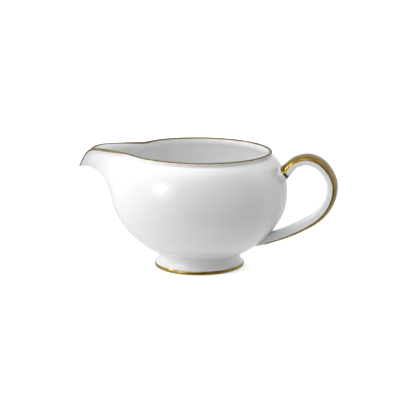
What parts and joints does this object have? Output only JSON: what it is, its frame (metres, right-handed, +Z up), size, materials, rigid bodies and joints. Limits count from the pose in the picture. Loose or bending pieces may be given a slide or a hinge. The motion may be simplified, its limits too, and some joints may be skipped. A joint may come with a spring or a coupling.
{
  "type": "porcelain cream jug",
  "caption": "Oval bellied porcelain cream jug with a drawn pouring lip, a round stuck-on foot ring, a strap loop handle and gilded edges.",
  "frame": {"origin": "on the standing surface, under the middle of the jug's length", "axes": "+X towards the handle, -X towards the spout, +Z up; the jug is symmetric about the XZ plane"},
  "size_m": [0.1452, 0.0856, 0.0652],
  "materials": {
    "glazed_china": "white bone china under a clear, glossy glaze",
    "slip": "fired joining slip, under the glaze at the joints",
    "gilding": "burnished antique gold, fired over the glaze"
  },
  "bodies": {
    "root": {"bowl": "glazed_china", "foot_ring": "glazed_china", "handle": "glazed_china", "foot_slip_joint": "slip", "handle_upper_slip_joint": "slip", "handle_lower_slip_joint": "slip", "rim_gilding": "gilding", "foot_gilding": "gilding", "handle_back_gilding": "gilding", "handle_collar_gilding": "gilding"}
  },
  "joints": []
}
